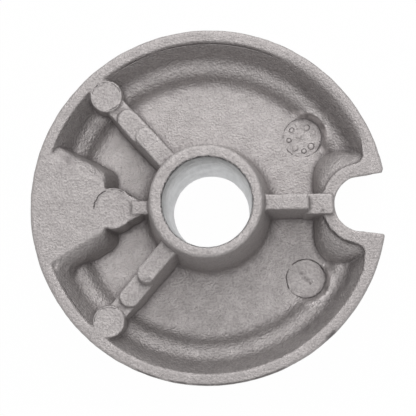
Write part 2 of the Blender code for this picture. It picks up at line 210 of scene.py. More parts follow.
def stacked(name, stack, collection):
    """A closed body through these rings of points, given from the root up."""
    shape = bmesh.new()
    rings = [[shape.verts.new(point) for point in ring] for ring in stack]
    for lower, upper in zip(rings, rings[1:]):
        for here in range(len(lower)):
            there = (here + 1) % len(lower)
            shape.faces.new((lower[here], lower[there], upper[there], upper[here]))
    shape.faces.new(list(reversed(rings[0])))
    shape.faces.new(rings[-1])
    mesh = bpy.data.meshes.new(name)
    shape.to_mesh(mesh)
    shape.free()
    piece = bpy.data.objects.new(name, mesh)
    collection.objects.link(piece)
    return piece


def lofted(name, feet, levels, collection):
    """A closed body whose outline goes around the feet, for each (grow, level) from the root up."""
    stack = [[(x, y, level) for x, y in outline(feet, grow)] for grow, level in levels]
    return stacked(name, stack, collection)


def wall_levels(top, draft, edge_round, foot_fillet=0, floor=FLOOR_LEVEL, root=WEB_ROOT_LEVEL):
    """How far the outline grows at each level of a cast wall, from its root to its top edge."""
    lean = math.tan(draft)
    levels = [((top - root) * lean + foot_fillet, root)]
    for step in range(ARC_STEPS if foot_fillet else 0):
        angle = math.pi / 2 * step / ARC_STEPS
        level = floor + foot_fillet * (1 - math.cos(angle))
        levels.append(((top - level) * lean + foot_fillet * (1 - math.sin(angle)), level))
    for step in range(ARC_STEPS + 1):
        angle = math.pi / 2 * step / ARC_STEPS
        level = top - edge_round * (1 - math.sin(angle))
        levels.append(((top - level) * lean - edge_round * (1 - math.cos(angle)), level))
    return levels


def polar(distance, angle):
    """The x and y of a point at this distance and angle from the throat axis."""
    return distance * math.cos(angle), distance * math.sin(angle)


web_steps = [
    ("high_web", HIGH_STEP_REACH, WEB_HALF_WIDTH, WEB_TOP_LEVEL),
    ("middle_web", MIDDLE_STEP_REACH, MIDDLE_STEP_HALF_WIDTH, MIDDLE_STEP_LEVEL),
    ("low_web", OUTER_PAD_DISTANCE, LOW_STEP_HALF_WIDTH, LOW_STEP_LEVEL),
]
for side in (1, -1):
    web_angle = side * OUTER_WEB_ANGLE
    for name, reach, half_width, top in web_steps:
        feet = [(*polar(WEB_START, web_angle), half_width), (*polar(reach, web_angle), half_width)]
        lofted(name, feet, wall_levels(top, CAST_DRAFT, WEB_EDGE_ROUND, WEB_FOOT_FILLET), added_metal)
    pad = [(*polar(OUTER_PAD_DISTANCE, web_angle), OUTER_PAD_RADIUS)]
    lofted("outer_pad", pad, wall_levels(RIM_LEVEL, CAST_DRAFT, WEB_EDGE_ROUND), added_metal)


def corners_of(start, end, half_width, corner):
    """Round feet at the four corners of a bar along the notch's axis."""
    reach = half_width - corner
    return [(x, y, corner) for x in (start + corner, end - corner) for y in (reach, -reach)]


lofted(
    "notch_web", corners_of(WEB_START, NOTCH_WEB_END, NOTCH_WEB_HALF_WIDTH, NOTCH_WEB_CORNER),
    wall_levels(WEB_TOP_LEVEL, CAST_DRAFT, WEB_EDGE_ROUND, WEB_FOOT_FILLET), added_metal)
lofted(
    "notch_block",
    corners_of(NOTCH_BLOCK_START, NOTCH_BLOCK_END, NOTCH_BLOCK_HALF_WIDTH, NOTCH_BLOCK_CORNER),
    wall_levels(NOTCH_BLOCK_LEVEL, CAST_DRAFT, WEB_EDGE_ROUND, WEB_FOOT_FILLET), added_metal)

# Rear land: a solid wedge of metal opposite the notch, level with the rim, where the melt
# ran in. Its long sides are well rounded, its end towards the hub is crisp. A short web
# and a round ejector pad join it to the hub.
LAND_END_X = -0.0261
LAND_SIDE_X = -0.0271
LAND_SIDE_Y = 0.0100
LAND_SIDE_ANGLE = math.radians(30)
LAND_SIDE_DRAFT = math.radians(11)
LAND_SHOULDERS = ((1, 0.0030, 0.0020, 1.35), (-1, 0.0036, 0.0056, 2.2))  # side, width, drop, bend
LAND_END_ROUND = 0.0005
LAND_END_DRAFT = math.radians(15)
LAND_TOP_CORNER = 0.0012
LAND_FOOT_CORNER = 0.0038
LAND_FAR_X = -0.0440
LAND_STEPS = 18
TRIM_RADIUS = 0.0435
TRIM_NARROWING = 0.0018
TRIM_LEVELS = (0.0050, 0.0160, 0.0170, 0.0360)


def combine(piece, other, operation):
    """A Boolean with another object, or with all the objects of a collection at once."""
    change = piece.modifiers.new(other.name, "BOOLEAN")
    change.operation = operation
    change.solver = "EXACT"
    if isinstance(other, bpy.types.Collection):
        change.operand_type = "COLLECTION"
        change.collection = other
    else:
        change.object = other


def rounding_at(depth, radius):
    """How far a rounded edge draws back from its corner at this depth below the top."""
    above = max(0, radius - depth)
    return radius - math.sqrt(radius * radius - above * above)


def side_reach(depth, width, drop, bend):
    """How far the land's long side stands out at this depth: a shoulder, then a leaning wall."""
    return max(0, depth - drop) * math.tan(LAND_SIDE_DRAFT) - width * max(0, 1 - depth / drop) ** bend


# What runs into the ring is trimmed to a drum that ends inside the ring's outer face
lows, shoulders, highs, tops = TRIM_LEVELS
ring_trim = lofted("ring_trim", [(0, 0, TRIM_RADIUS)], [
    (-TRIM_NARROWING, lows), (-TRIM_NARROWING, shoulders), (0, highs), (0, tops)], tools)

land_stack = []
for step in range(LAND_STEPS + 1):
    fall = (1 - step / LAND_STEPS) ** 2
    depth = (RIM_LEVEL - WEB_ROOT_LEVEL) * fall
    corner = LAND_TOP_CORNER + (LAND_FOOT_CORNER - LAND_TOP_CORNER) * math.sqrt(fall)
    end_out = depth * math.tan(LAND_END_DRAFT) - rounding_at(depth, LAND_END_ROUND)
    corner_x = LAND_END_X + end_out - corner
    feet = []
    for side, width, drop, bend in LAND_SHOULDERS:
        side_out = side_reach(depth, width, drop, bend)
        for x in (corner_x, LAND_FAR_X):
            y = LAND_SIDE_Y + (LAND_SIDE_X - x) * math.tan(LAND_SIDE_ANGLE)
            feet.append((x, side * (y + (side_out - corner) / math.cos(LAND_SIDE_ANGLE)), corner))
    land_stack.append([(x, y, RIM_LEVEL - depth) for x, y in outline(feet, 0)])
land = stacked("rear_land", land_stack, added_metal)
combine(land, ring_trim, "INTERSECT")

# Where the land's lower side meets the ring, the wall runs round in a hollow curve
LAND_FILLET = 0.0032
LAND_FILLET_STEPS = 8
FILLER_REACH = 1.4
FILLER_CORNER = 1.9


def anticlockwise(ring):
    """The same (x, y) points, turned round if they run clockwise."""
    area = sum(x0 * y1 - x1 * y0 for (x0, y0), (x1, y1) in zip(ring, ring[1:] + ring[:1]))
    return ring if area > 0 else ring[::-1]


def corner_arc(start, way, out, ring_radius, radius, steps):
    """An arc from a straight side to a ring round the hub: its points, centre and two ends.

    Its centre lies on the line from start along way, and out points away from the side.
    """
    along = start.dot(way)
    run = math.sqrt(along ** 2 + (ring_radius - radius) ** 2 - start.length_squared) - along
    centre = start + way * run
    on_side = -out * radius
    on_ring = centre.normalized() * radius
    sweep = on_side.angle_signed(on_ring)
    arc = [centre + Matrix.Rotation(-sweep * step / steps, 2) @ on_side for step in range(steps + 1)]
    return arc, centre, on_side, on_ring


side_way = Vector((-math.cos(LAND_SIDE_ANGLE), -math.sin(LAND_SIDE_ANGLE)))
side_out = Vector((math.sin(LAND_SIDE_ANGLE), -math.cos(LAND_SIDE_ANGLE)))
fillet_levels = (
    LEDGE_LEVEL - OVERRUN, WALL_FOOT_LEVEL, (WALL_FOOT_LEVEL + RIM_LEVEL) / 2, RIM_LEVEL - RIM_EDGE_ROUND)
fillet_stack = []
for level in fillet_levels:
    depth = RIM_LEVEL - level
    fall = min(1, depth / (RIM_LEVEL - WALL_FOOT_LEVEL))
    wall = RIM_INNER_RADIUS - (RIM_INNER_RADIUS - WALL_FOOT_RADIUS) * fall
    reach = side_reach(depth, *LAND_SHOULDERS[1][1:])
    start = Vector((LAND_SIDE_X, -LAND_SIDE_Y)) + side_out * (reach + LAND_FILLET)
    ring, centre, on_side, on_ring = corner_arc(
        start, side_way, side_out, wall, LAND_FILLET, LAND_FILLET_STEPS)
    ring.append(centre + on_ring * FILLER_REACH)
    ring.append(centre + (on_side + on_ring).normalized() * LAND_FILLET * FILLER_CORNER)
    ring.append(centre + on_side * FILLER_REACH)
    fillet_stack.append([(x, y, level) for x, y in anticlockwise(ring)])
stacked("land_fillet", fillet_stack, added_metal)

# The pad and its short web, which widens where it runs into the pad
REAR_PAD_DISTANCE = 0.0240
REAR_PAD_RADIUS = 0.0052
REAR_WEB_START = 0.0129
REAR_WEB_HALF_WIDTH = 0.0017
REAR_WEB_LEVEL = 0.0205
REAR_FLARE_START = 0.0168
REAR_FLARE_END = 0.0215
REAR_FLARE_HALF_WIDTH = 0.0036

rear_pieces = [
    ("rear_pad", RIM_LEVEL, [(REAR_PAD_DISTANCE, REAR_PAD_RADIUS)]),
    ("rear_web", REAR_WEB_LEVEL, [
        (REAR_WEB_START, REAR_WEB_HALF_WIDTH), (REAR_PAD_DISTANCE, REAR_WEB_HALF_WIDTH)]),
    ("rear_web_flare", RIM_LEVEL, [
        (REAR_FLARE_START, REAR_WEB_HALF_WIDTH), (REAR_FLARE_END, REAR_FLARE_HALF_WIDTH)]),
]
for name, top, feet in rear_pieces:
    lofted(
        name, [(-distance, 0, radius) for distance, radius in feet],
        wall_levels(top, CAST_DRAFT, WEB_EDGE_ROUND, WEB_FOOT_FILLET), added_metal)

# A small hollow in the end of the lower web's high step, where the mould was mended
DIMPLE_DISTANCE = 0.0243
DIMPLE_ANGLE = math.radians(-128.6)
DIMPLE_HALF_LENGTH = 0.0006
DIMPLE_HALF_WIDTH = 0.0005
DIMPLE_DEPTH = 0.0005

dimple_x, dimple_y = polar(DIMPLE_DISTANCE, DIMPLE_ANGLE)
lofted(
    "web_dimple",
    [(dimple_x + way * DIMPLE_HALF_LENGTH, dimple_y, DIMPLE_HALF_WIDTH) for way in (1, -1)],
    [(0, WEB_TOP_LEVEL - DIMPLE_DEPTH), (DIMPLE_HALF_WIDTH / 2, WEB_TOP_LEVEL + DIMPLE_DEPTH)],
    hollows)

# Notch wall: the metal around the open notch for the spark electrode. A flat collar, level
# with the rim, stands on a mound that falls in a curve to a wide square foot on the floor.
# The notch opens towards the crown, so that the electrode can lean in it.
NOTCH_RADIUS = 0.0070
NOTCH_CENTRE = 0.0388
NOTCH_DEPTH = 0.0132
NOTCH_FLARE = math.radians(7)
NOTCH_DRAFT = math.radians(5.8)
NOTCH_TOP = 0.0240
COLLAR_RADIUS = 0.0103
COLLAR_FILLET = 0.0022
COLLAR_OUTER_RADIUS = 0.0434
COLLAR_ROOT_LEVEL = 0.0172
COLLAR_RING_INSET = 0.0011
COLLAR_RING_RUN = math.radians(9)
COLLAR_STEPS = 24
MOUND_RADIUS = 0.0098
MOUND_RING_RADIUS = 0.0112
MOUND_RING_SHIFT = 0.0030
MOUND_LEVEL = 0.0186
MOUND_STEPS = 10
MOUND_SWEEP = math.radians(68)
MOUND_FOOT_HALF_WIDTH = 0.0147
MOUND_FOOT_REACH = 0.0122
MOUND_FOOT_CORNER = 0.0070

foot_x = NOTCH_CENTRE - MOUND_FOOT_REACH + MOUND_FOOT_CORNER
foot_y = MOUND_FOOT_HALF_WIDTH - MOUND_FOOT_CORNER
foot_ring = outline([
    (x, y, MOUND_FOOT_CORNER) for x in (foot_x, NOTCH_CENTRE) for y in (foot_y, -foot_y)], 0)
crest_ring = outline([
    (NOTCH_CENTRE, 0, MOUND_RADIUS), (NOTCH_CENTRE + MOUND_RING_SHIFT, 0, MOUND_RING_RADIUS)], 0)
mound_stack = [[(x, y, WEB_ROOT_LEVEL) for x, y in foot_ring]]
for step in range(MOUND_STEPS + 1):
    angle = MOUND_SWEEP * step / MOUND_STEPS
    inward = (1 - math.cos(angle)) / (1 - math.cos(MOUND_SWEEP))
    level = FLOOR_LEVEL + (MOUND_LEVEL - FLOOR_LEVEL) * math.sin(angle) / math.sin(MOUND_SWEEP)
    mound_stack.append([
        (x0 + (x1 - x0) * inward, y0 + (y1 - y0) * inward, level)
        for (x0, y0), (x1, y1) in zip(foot_ring, crest_ring)])
mound = stacked("notch_mound", mound_stack, added_metal)
combine(mound, ring_trim, "INTERSECT")

# The collar's edge runs round the notch and turns into the ring's wall in a hollow curve
fillet_reach = RIM_INNER_RADIUS - COLLAR_RING_INSET - COLLAR_FILLET
notch_reach = COLLAR_RADIUS + COLLAR_FILLET
fillet_x = (fillet_reach ** 2 - notch_reach ** 2 + NOTCH_CENTRE ** 2) / (2 * NOTCH_CENTRE)
fillet_y = math.sqrt(fillet_reach ** 2 - fillet_x ** 2)
from_notch = math.atan2(fillet_y, fillet_x - NOTCH_CENTRE)
from_hub = math.atan2(fillet_y, fillet_x)
collar_edge = []
for step in range(COLLAR_STEPS + 1):
    angle = math.pi + (from_notch - math.pi) * step / COLLAR_STEPS
    x, y = polar(COLLAR_RADIUS, angle)
    collar_edge.append((NOTCH_CENTRE + x, y))
for step in range(1, COLLAR_STEPS + 1):
    angle = from_notch - math.pi + (from_hub + math.pi - from_notch) * step / COLLAR_STEPS
    x, y = polar(COLLAR_FILLET, angle)
    collar_edge.append((fillet_x + x, fillet_y + y))
for step in range(1, COLLAR_STEPS + 1):
    inset = COLLAR_RING_INSET * (1 - step / COLLAR_STEPS) ** 2
    collar_edge.append(polar(RIM_INNER_RADIUS - inset, from_hub + COLLAR_RING_RUN * step / COLLAR_STEPS))
for step in range(COLLAR_STEPS):
    collar_edge.append(polar(COLLAR_OUTER_RADIUS, (from_hub + COLLAR_RING_RUN) * (1 - step / COLLAR_STEPS)))
collar_edge += [(x, -y) for x, y in reversed(collar_edge[1:])]
stacked("notch_collar", [
    [(x, y, level) for x, y in anticlockwise(collar_edge)]
    for level in (COLLAR_ROOT_LEVEL, RIM_LEVEL)], added_metal)

# The notch itself: round at its inner end, with sides that open a little towards the rim
notch_narrowing = (NOTCH_TOP - RIM_LEVEL) * math.tan(NOTCH_DRAFT)
notch_outer_x = NOTCH_CENTRE + NOTCH_DEPTH
notch_outer_radius = NOTCH_RADIUS - notch_narrowing + NOTCH_DEPTH * math.sin(NOTCH_FLARE)
lofted(
    "notch", [(NOTCH_CENTRE, 0, NOTCH_RADIUS - notch_narrowing), (notch_outer_x, 0, notch_outer_radius)],
    [((NOTCH_TOP + OVERRUN) * math.tan(NOTCH_DRAFT), -OVERRUN), (0, NOTCH_TOP)], hollows)

# The two tips beside the notch are worn round, the upper one more than the lower
TIP_ROUNDS = ((1, 0.0012), (-1, 0.0005))
TIP_STEPS = 8
TIP_CUT_REACH = 4
TIP_SIDE_REACH = 2

side_way = Vector((math.cos(NOTCH_FLARE), math.sin(NOTCH_FLARE)))
side_out = Vector((-side_way.y, side_way.x))
side_start = Vector((NOTCH_CENTRE, 0)) + side_out * NOTCH_RADIUS
for side, tip_round in TIP_ROUNDS:
    start = side_start + side_out * tip_round
    tip, centre, on_side, on_rim = corner_arc(start, side_way, side_out, RIM_RADIUS, tip_round, TIP_STEPS)
    tip.append(centre + on_rim * TIP_CUT_REACH)
    tip.append(centre + (on_side + on_rim) * TIP_CUT_REACH)
    tip.append(centre + on_side * TIP_SIDE_REACH)
    tip = anticlockwise([(x, side * y) for x, y in tip])
    stacked("notch_tip", [
        [(x, y, level) for x, y in tip] for level in (COLLAR_ROOT_LEVEL - OVERRUN, NOTCH_TOP)], hollows)

# Gas throat: a drawn core left this tapered bore, a touch to one side of the hub. Its wall
# is smoother and cooler in colour than the sand-like skin of the rest, and a thin, ragged
# flash of metal stands around its inlet.
THROAT_SHIFT_X = 0.00027
THROAT_SHIFT_Y = -0.00028
BORE_INLET_RADIUS = 0.0112
THROAT_RADIUS = 0.0097
THROAT_LEVEL = 0.0030
INLET_CHAMFER = 0.0003
INLET_CHAMFER_DEPTH = 0.0004
INLET_NARROWING = 0.000075
THROAT_ROUND = 0.0012
MOUTH_FLARE = 0.0008
MOUTH_HEIGHT = 0.0010

mouth_radius = THROAT_RADIUS + MOUTH_FLARE * (THROAT_LEVEL + OVERRUN) / MOUTH_HEIGHT
bore = turned("gas_throat", [
    (0, HUB_LEVEL + OVERRUN, 0),
    (BORE_INLET_RADIUS + INLET_CHAMFER, HUB_LEVEL + OVERRUN, 0),
    (BORE_INLET_RADIUS + INLET_CHAMFER, HUB_LEVEL, 0),
    (BORE_INLET_RADIUS - INLET_NARROWING, HUB_LEVEL - INLET_CHAMFER_DEPTH, 0),
    (THROAT_RADIUS, THROAT_LEVEL, THROAT_ROUND),
    (mouth_radius, -OVERRUN, 0),
    (0, -OVERRUN, 0),
], hollows)
bore.location = (THROAT_SHIFT_X, THROAT_SHIFT_Y, 0)

# Gas chamber: the hollow of the crown side, under the cap that the burner carries. A lip
# stands around the throat, a deeper gutter runs along the ring, and the cap sits in a step.
LIP_RADIUS = 0.0119
LIP_LEVEL = 0.0020
LIP_ROUND = 0.0004
LIP_CONE_RADIUS = 0.0149
LIP_CONE_FILLET = 0.0015
CHAMBER_LEVEL = 0.0075
GUTTER_INNER_RADIUS = 0.0350
GUTTER_TOP_RADIUS = 0.0365
GUTTER_OUTER_RADIUS = 0.0377
GUTTER_LEVEL = 0.0107
GUTTER_ROUND = 0.0006
CHAMBER_WALL_FOOT = 0.0382
CAP_SEAT_RADIUS = 0.0392
CAP_SEAT_DEPTH = 0.0010
NOTCH_CHAMBER_WALL = 0.0026
NOTCH_WALL = 0.0034

chamber = turned("chamber", [
    (0, LIP_LEVEL, 0),
    (LIP_RADIUS, LIP_LEVEL, LIP_ROUND),
    (LIP_CONE_RADIUS, CHAMBER_LEVEL, LIP_CONE_FILLET),
    (GUTTER_INNER_RADIUS, CHAMBER_LEVEL, GUTTER_ROUND),
    (GUTTER_TOP_RADIUS, GUTTER_LEVEL, GUTTER_ROUND),
    (GUTTER_OUTER_RADIUS, GUTTER_LEVEL, GUTTER_ROUND),
    (CHAMBER_WALL_FOOT, CAP_SEAT_DEPTH, 0),
    (CAP_SEAT_RADIUS, CAP_SEAT_DEPTH, 0),
    (CAP_SEAT_RADIUS, -OVERRUN, 0),
    (0, -OVERRUN, 0),
], hollows)
chamber.rotation_euler.z = math.pi / TURN_STEPS  # half a facet, so that no edges coincide
notch_crown_radius = NOTCH_RADIUS + RIM_LEVEL * math.tan(NOTCH_DRAFT) + NOTCH_CHAMBER_WALL
lean_top = GUTTER_LEVEL + OVERRUN
around_notch = lofted(
    "around_notch", [(NOTCH_CENTRE, 0, notch_crown_radius - lean_top * math.tan(NOTCH_DRAFT))],
    [((lean_top + OVERRUN * 2) * math.tan(NOTCH_DRAFT), -OVERRUN * 2), (0, lean_top)], tools)
combine(chamber, around_notch, "DIFFERENCE")

# Flame ports: deep slots through the foot of the ring, with a shallow simmer slot between
# each two, and one small port that lets gas out at the spark electrode.
PORT_COUNT = 50
PORT_WIDTH = 0.0020
PORT_DEPTH = 0.0042
SIMMER_PORT_WIDTH = 0.0010
SIMMER_PORT_DEPTH = 0.0016
IGNITION_PORT_WIDTH = 0.0016
IGNITION_PORT_DEPTH = 0.0026

shape = bmesh.new()


def cut_port(angle, inner, outer, width, depth):
    """A slot along the ray at this angle, from the inner to the outer radius."""
    x, y = polar((inner + outer) / 2, angle)
    size = Matrix.Diagonal((outer - inner, width, depth + OVERRUN, 1))
    place = Matrix.Translation((x, y, (depth - OVERRUN) / 2)) @ Matrix.Rotation(angle, 4, "Z")
    bmesh.ops.create_cube(shape, size=1, matrix=place @ size)


port_inner = GUTTER_OUTER_RADIUS - OVERRUN
port_outer = RIM_RADIUS + OVERRUN
clear_angle = math.asin((NOTCH_RADIUS + NOTCH_WALL + PORT_WIDTH) / NOTCH_CENTRE)
port_pitch = 2 * (math.pi - clear_angle) / (PORT_COUNT - 1)
for index in range(PORT_COUNT):
    cut_port(clear_angle + port_pitch * index, port_inner, port_outer, PORT_WIDTH, PORT_DEPTH)
for index in range(PORT_COUNT - 1):
    cut_port(
        clear_angle + port_pitch * (index + 1 / 2), port_inner, port_outer,
        SIMMER_PORT_WIDTH, SIMMER_PORT_DEPTH)
notch_end = NOTCH_CENTRE - notch_crown_radius
cut_port(
    0, notch_end - OVERRUN, notch_end + NOTCH_CHAMBER_WALL + OVERRUN,
    IGNITION_PORT_WIDTH, IGNITION_PORT_DEPTH)
port_mesh = bpy.data.meshes.new("flame_ports")
shape.to_mesh(port_mesh)
shape.free()
hollows.objects.link(bpy.data.objects.new("flame_ports", port_mesh))

# Mould marks: a faint round step on each ejector pad, where a pin pushed the casting out,
# and two round inserts of the mould, which left flat discs at the foot of the riser.
PIN_MARK_DEPTH = 0.00016
PIN_MARK_MARGIN = 0.0004
INSERT_RADIUS = 0.0050
INSERT_EASE = 0.0004
INSERT_LEAN = 0.0017
INSERT_DISTANCE = 0.0301
INSERT_ANGLES = (math.radians(37.2), math.radians(-36.5))

pins = [(*polar(OUTER_PAD_DISTANCE, side * OUTER_WEB_ANGLE), OUTER_PAD_RADIUS) for side in (1, -1)]
pins.append((-REAR_PAD_DISTANCE, 0, REAR_PAD_RADIUS))
for x, y, radius in pins:
    lofted(
        "pin_mark", [(x, y, radius - PIN_MARK_MARGIN)],
        [(0, RIM_LEVEL - PIN_MARK_DEPTH), (0, RIM_LEVEL + OVERRUN)], hollows)
for angle in INSERT_ANGLES:
    lofted(
        "insert_mark", [(*polar(INSERT_DISTANCE, angle), INSERT_RADIUS)],
        [(0, FLOOR_LEVEL - PIN_MARK_DEPTH), (INSERT_EASE, FLOOR_LEVEL + INSERT_EASE),
         (INSERT_LEAN, LEDGE_LEVEL + OVERRUN)], hollows)

# Plain marks of the inserts: raised buttons in the upper disc and a slanted slot in the lower
BUTTONS = [
    (-0.0026, 0.0020, 0.00045), (-0.0010, 0.0034, 0.00040), (0.0012, 0.0026, 0.00055),
    (0.0030, 0.0012, 0.00045), (-0.0034, -0.0006, 0.00040), (-0.0008, 0.0004, 0.00050),
    (0.0022, -0.0022, 0.00060), (-0.0018, -0.0026, 0.00055), (0.0004, -0.0034, 0.00040),
]
BUTTON_HEIGHT = 0.00035
SLOT_LENGTH = 0.0034
SLOT_HALF_WIDTH = 0.00042
SLOT_DEPTH = 0.00045
SLOT_ANGLE = math.radians(-47)

upper_x, upper_y = polar(INSERT_DISTANCE, INSERT_ANGLES[0])
for x, y, radius in BUTTONS:
    lofted(
        "insert_button", [(upper_x + x, upper_y + y, radius)],
        [(BUTTON_HEIGHT, CHAMBER_LEVEL + OVERRUN), (BUTTON_HEIGHT, FLOOR_LEVEL - PIN_MARK_DEPTH),
         (0, FLOOR_LEVEL - PIN_MARK_DEPTH + BUTTON_HEIGHT)], late_metal)
lower_x, lower_y = polar(INSERT_DISTANCE, INSERT_ANGLES[1])
slot_x, slot_y = polar(SLOT_LENGTH / 2, SLOT_ANGLE)
lofted(
    "insert_slot", [(lower_x + way * slot_x, lower_y + way * slot_y, SLOT_HALF_WIDTH) for way in (1, -1)],
    [(0, FLOOR_LEVEL - SLOT_DEPTH), (SLOT_DEPTH, FLOOR_LEVEL + OVERRUN)], hollows)

# The casting's skin: all of the above is one solid, so it is joined and cut, and its mesh is
# rebuilt in small even facets and eased, which leaves the soft corners of poured metal.
SKIN_FACET = 0.0003
SKIN_EASING = 0.5
SKIN_EASING_ROUNDS = 2

combine(casting, added_metal, "UNION")
combine(casting, hollows, "DIFFERENCE")
combine(casting, late_metal, "UNION")
skin = casting.modifiers.new("skin", "REMESH")
skin.mode = "VOXEL"
skin.voxel_size = SKIN_FACET
ease = casting.modifiers.new("ease", "SMOOTH")
ease.factor = SKIN_EASING
ease.iterations = SKIN_EASING_ROUNDS


def settled(piece):
    """The mesh of a piece with its modifiers worked into it."""
    graph = bpy.context.evaluated_depsgraph_get()
    return bpy.data.meshes.new_from_object(piece.evaluated_get(graph))


crown = bpy.data.objects.new("burner_casting", settled(casting))
bpy.context.scene.collection.objects.link(crown)
for group in (tools, added_metal, hollows, late_metal):
    for piece in list(group.objects):
        bpy.data.objects.remove(piece, do_unlink=True)
    bpy.data.collections.remove(group)

# Wear of the mould: no edge of the casting runs quite true and its skin is pebbled. The rim
# rolls softly into the wall at the upper right. How deep each point sits in a hollow or stands
# on an edge is kept as a mask, for the painted shade with some dirt in hollows and creases.
WAVE_SIZE = 0.0040
WAVE_HEIGHT = 0.00010
RAG_SIZE = 0.0013
RAG_HEIGHT = 0.00004
PEBBLE_SIZE = 0.0010
PEBBLE_HEIGHT = 0.00003
ROLLED_BEARINGS = [math.radians(bearing) for bearing in (13, 22, 55, 66)]
ROLLED_WIDTH = 0.0022
ROLLED_DEPTH = 0.0004
CREASE_REACH = 0.0009
CREASE_DEPTH = 0.00012
HOLLOW_REACH = 0.0022
HOLLOW_DEPTH = 0.00045
BOX_MARGIN = 0.000012
SKIN_TRIANGLES = 190000
CROWN_SIDE_LEVEL = 0.0094

count = len(crown.data.vertices)
points = np.empty(count * 3, dtype=np.float32)
normals = np.empty(count * 3, dtype=np.float32)
crown.data.vertices.foreach_get("co", points)
crown.data.vertex_normals.foreach_get("vector", normals)
points = points.reshape(count, 3).astype(float)
normals = normals.reshape(count, 3).astype(float)
radii = np.hypot(points[:, 0], points[:, 1])
bearings = np.arctan2(points[:, 1], points[:, 0])
from_edge = np.hypot(radii - RIM_INNER_RADIUS, points[:, 2] - RIM_LEVEL)
rolled = np.interp(bearings, ROLLED_BEARINGS, (0, 1, 1, 0))
rolled *= np.clip(1 - from_edge / ROLLED_WIDTH, 0, 1) ** 2
waves = np.array([noise.noise_vector(Vector(point) / WAVE_SIZE) for point in points])
rags = np.array([noise.noise_vector(Vector(point) / RAG_SIZE) for point in points])
pebbles = np.array([noise.noise(Vector(point) / PEBBLE_SIZE) for point in points])
pebbles[points[:, 2] < CROWN_SIDE_LEVEL] = 0
points += waves * WAVE_HEIGHT + rags * RAG_HEIGHT
points += normals * (pebbles * PEBBLE_HEIGHT - rolled * ROLLED_DEPTH)[:, None]
low, high = (np.array(corner) for corner in cad_box)
points = np.clip(points, low + BOX_MARGIN, high - BOX_MARGIN)
crown.data.vertices.foreach_set("co", points.ravel())
crown.data.update()

ends = np.empty(len(crown.data.edges) * 2, dtype=np.int64)
crown.data.edges.foreach_get("vertices", ends)
here = np.concatenate((ends[0::2], ends[1::2]))
there = np.concatenate((ends[1::2], ends[0::2]))
neighbours = np.bincount(here, minlength=count).clip(1)


def sunk(reach, depth):
    """How deep each point sits below its surroundings: 1 in a hollow, -1 on an edge."""
    eased = points.copy()
    for _ in range(max(1, round((reach / SKIN_FACET) ** 2))):
        eased = np.stack([
            np.bincount(here, weights=eased[there, axis], minlength=count) / neighbours
            for axis in range(3)], axis=1)
    return np.clip(((eased - points) * normals).sum(axis=1) / depth, -1, 1).astype(np.float32)


for name, reach, depth in (("crease", CREASE_REACH, CREASE_DEPTH), ("hollow", HOLLOW_REACH, HOLLOW_DEPTH)):
    crown.data.attributes.new(name, "FLOAT", "POINT").data.foreach_set("value", sunk(reach, depth))

# The masks are drawn on the full skin, which is then thinned to what the export takes
crown.data.calc_loop_triangles()
thin = crown.modifiers.new("thin", "DECIMATE")
thin.ratio = min(1, SKIN_TRIANGLES / len(crown.data.loop_triangles))
crown.data = settled(crown)
crown.modifiers.clear()
crown.data.shade_smooth()

# Finish of the casting: die-cast aluminium after tumbling, a warm light grey with a fine
# pebbled grain whose pits are darker. Painted shade with some dirt darkens its hollows and creases,
# its edges are painted lighter, and painted light makes its floor paler behind the hub and towards the
# upper side.
NOISE_MIDDLE = 0.5
PEBBLE_SCALE = 1900
PEBBLE_DETAIL = 3
PEBBLE_WEIGHT = 0.75
LUMP_SCALE_SHARE = 0.45
LUMP_DETAIL = 1
LUMP_WEIGHT = 0.25
CLOUD_SCALE = 330
CLOUD_DETAIL = 2


def group_with(name, sockets):
    """An empty shader group with its sockets, given as (name, in or out, kind, value)."""
    tree = bpy.data.node_groups.new(name, "ShaderNodeTree")
    for label, way, kind, value in sockets:
        socket = tree.interface.new_socket(label, in_out=way, socket_type=kind)
        if way == "INPUT":
            socket.default_value = value
    return tree, tree.nodes.new("NodeGroupInput"), tree.nodes.new("NodeGroupOutput")


def supply(tree, socket, term):
    """Give a socket a number or colour, or link it to another socket."""
    if isinstance(term, bpy.types.NodeSocket):
        tree.links.new(term, socket)
    else:
        socket.default_value = term


def maths(tree, operation, *terms):
    """A Math node on numbers and sockets, and its result."""
    node = tree.nodes.new("ShaderNodeMath")
    node.operation = operation
    for index, term in enumerate(terms):
        supply(tree, node.inputs[index], term)
    return node.outputs[0]


def faded(tree, value, start, finish, out_start=0, out_finish=1):
    """A smooth step of the value from start to finish."""
    node = tree.nodes.new("ShaderNodeMapRange")
    node.interpolation_type = "SMOOTHSTEP"
    tree.links.new(value, node.inputs["Value"])
    labels = ("From Min", "From Max", "To Min", "To Max")
    for label, term in zip(labels, (start, finish, out_start, out_finish)):
        supply(tree, node.inputs[label], term)
    return node.outputs["Result"]


def noise_at(tree, place, scale, detail):
    """A noise texture at this place, and its value."""
    node = tree.nodes.new("ShaderNodeTexNoise")
    node.inputs["Detail"].default_value = detail
    tree.links.new(place, node.inputs["Vector"])
    supply(tree, node.inputs["Scale"], scale)
    return node.outputs["Fac"]


def long_side(tree, x, y):
    """The length of the slanting side of a right angle with the sides x and y."""
    return maths(tree, "SQRT", maths(tree, "ADD", maths(tree, "POWER", x, 2), maths(tree, "POWER", y, 2)))


